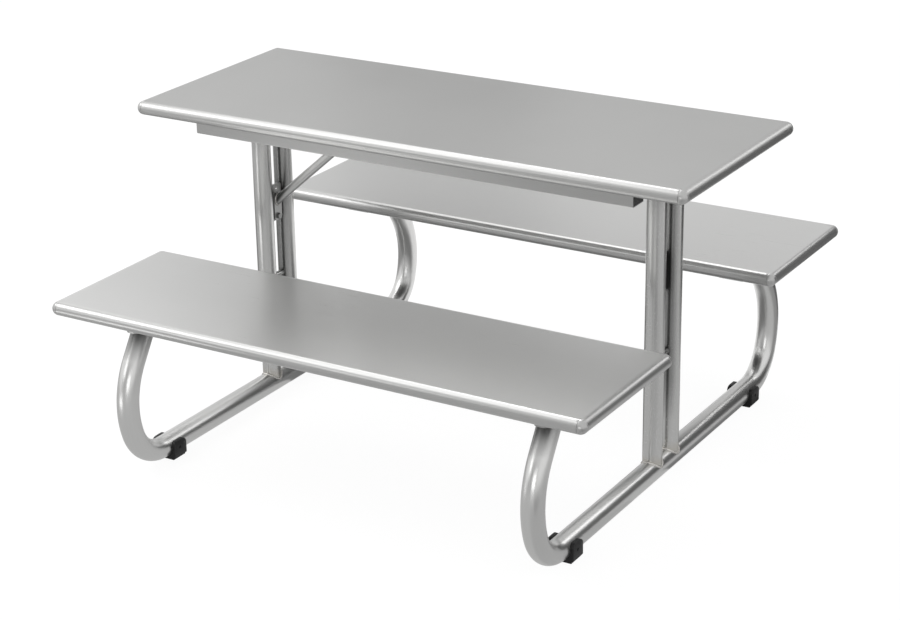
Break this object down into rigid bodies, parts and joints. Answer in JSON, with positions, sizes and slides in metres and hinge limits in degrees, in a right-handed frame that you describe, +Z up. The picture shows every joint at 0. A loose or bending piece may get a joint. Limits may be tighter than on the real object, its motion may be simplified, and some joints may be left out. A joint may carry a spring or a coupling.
{
  "type": "table with attached benches",
  "caption": "Stainless steel table with a bench on each side, carried on two bent tube frames with paired posts and plastic glides.",
  "frame": {"origin": "on the floor, under the middle of the table top", "axes": "+X along the table's length, +Y from the front bench towards the rear bench, +Z up; the brace is on the -X frame"},
  "size_m": [1.32, 1.246, 0.74],
  "materials": {
    "slab_steel": "satin",
    "tube_steel": "satin",
    "bracket_steel": "mill",
    "weld_steel": "as welded",
    "fastener_steel": "bright",
    "dark_fastener": "black oxide",
    "glide_plastic": "matte",
    "core_board": "raw"
  },
  "bodies": {
    "root": {"brace_bolt": "fastener_steel", "brace_foot": "tube_steel", "brace_foot_screws": "fastener_steel", "brace_nut": "fastener_steel", "brace_tab": "tube_steel", "brace_tube": "tube_steel", "brace_welds": "weld_steel", "crossbar_weld_nuts": "fastener_steel", "front_left_glide": "glide_plastic", "front_left_post": "tube_steel", "front_left_seat_bearer": "bracket_steel", "front_left_seat_plate": "bracket_steel", "front_right_glide": "glide_plastic", "front_right_post": "tube_steel", "front_right_seat_bearer": "bracket_steel", "front_right_seat_plate": "bracket_steel", "front_seat_core_board": "core_board", "front_seat_lining_sheet": "bracket_steel", "front_seat_skin": "slab_steel", "front_table_rail": "bracket_steel", "glide_screws": "dark_fastener", "left_base_tube": "tube_steel", "left_crossbar": "bracket_steel", "left_post_plate": "bracket_steel", "left_tie_plate": "tube_steel", "post_foot_welds": "weld_steel", "post_plate_bolts": "fastener_steel", "post_spacers": "tube_steel", "post_top_welds": "weld_steel", "rail_bolts": "fastener_steel", "rail_end_caps": "bracket_steel", "rear_left_glide": "glide_plastic", "rear_left_post": "tube_steel", "rear_left_seat_bearer": "bracket_steel", "rear_left_seat_plate": "bracket_steel", "rear_right_glide": "glide_plastic", "rear_right_post": "tube_steel", "rear_right_seat_bearer": "bracket_steel", "rear_right_seat_plate": "bracket_steel", "rear_seat_core_board": "core_board", "rear_seat_lining_sheet": "bracket_steel", "rear_seat_skin": "slab_steel", "rear_table_rail": "bracket_steel", "right_base_tube": "tube_steel", "right_crossbar": "bracket_steel", "right_post_plate": "bracket_steel", "right_tie_plate": "tube_steel", "seat_bearer_screws": "fastener_steel", "seat_plate_bolts": "fastener_steel", "seat_plate_nuts": "fastener_steel", "seat_plate_washers": "fastener_steel", "seat_plate_welds": "weld_steel", "table_core_board": "core_board", "table_lining_sheet": "bracket_steel", "table_rail_screws": "fastener_steel", "table_top_skin": "slab_steel", "underframe_washers": "fastener_steel"}
  },
  "joints": []
}
